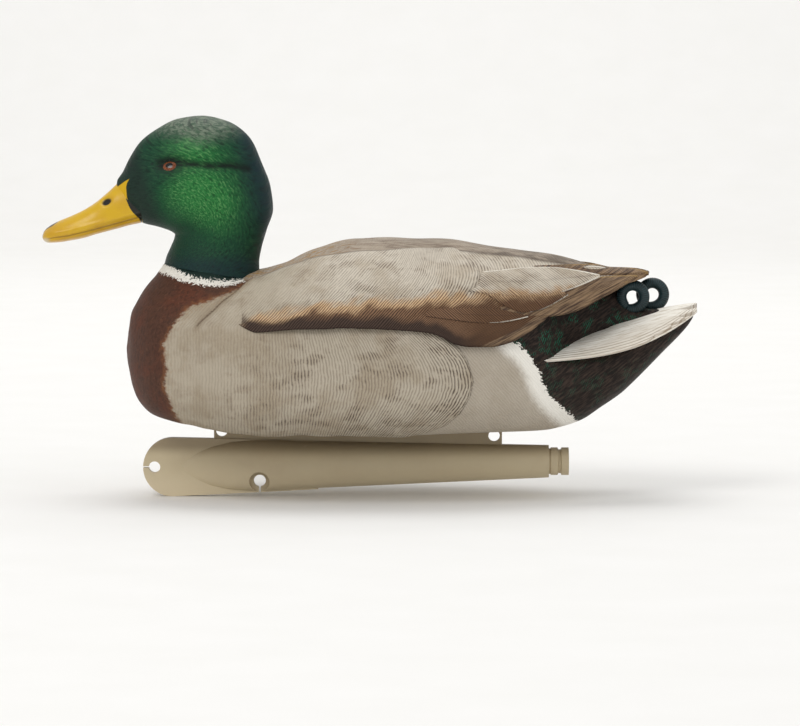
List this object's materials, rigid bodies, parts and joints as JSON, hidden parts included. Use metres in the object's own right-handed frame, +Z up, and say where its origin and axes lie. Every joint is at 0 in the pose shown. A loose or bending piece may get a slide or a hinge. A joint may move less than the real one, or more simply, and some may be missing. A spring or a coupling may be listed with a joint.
{
  "type": "floating duck decoy",
  "caption": "Life-size floating drake decoy: hollow painted body, head that turns on a neck swivel, and a weighted keel with anchor line holes.",
  "frame": {"origin": "on the water line, at the middle of the decoy's length and width", "axes": "+X from the bill to the tail, +Y to the bird's right, +Z up"},
  "size_m": [0.4, 0.1673, 0.2341],
  "materials": {
    "painted_body": "matt paint",
    "painted_head": "satin paint",
    "painted_bill": "satin paint",
    "curl_feather": "satin",
    "eye_plastic": "gloss",
    "keel_plastic": "satin",
    "black_nylon": "satin",
    "seal_rubber": "matt",
    "clip_steel": "spring steel",
    "screw_steel": "zinc plated",
    "ballast_iron": "packed iron sand"
  },
  "bodies": {
    "hull": {"body_shell": "painted_body", "tail_curl_left": "curl_feather", "tail_curl_right": "curl_feather", "neck_socket": "black_nylon", "neck_seal": "seal_rubber", "keel_shell": "keel_plastic", "keel_ballast": "ballast_iron", "keel_end_plug": "keel_plastic", "keel_screws": "screw_steel"},
    "head": {"neck_plug": "black_nylon", "neck_clip": "clip_steel", "head_shell": "painted_head", "bill": "painted_bill", "eye_left": "eye_plastic", "eye_right": "eye_plastic"}
  },
  "joints": [
    {"name": "head_swivel", "type": "hinge", "parent": "hull", "child": "head", "pos_m": [-0.0968, 0, 0.0731], "axis": [0.1668, 0, 0.986], "range_deg": [-60, 60]}
  ]
}
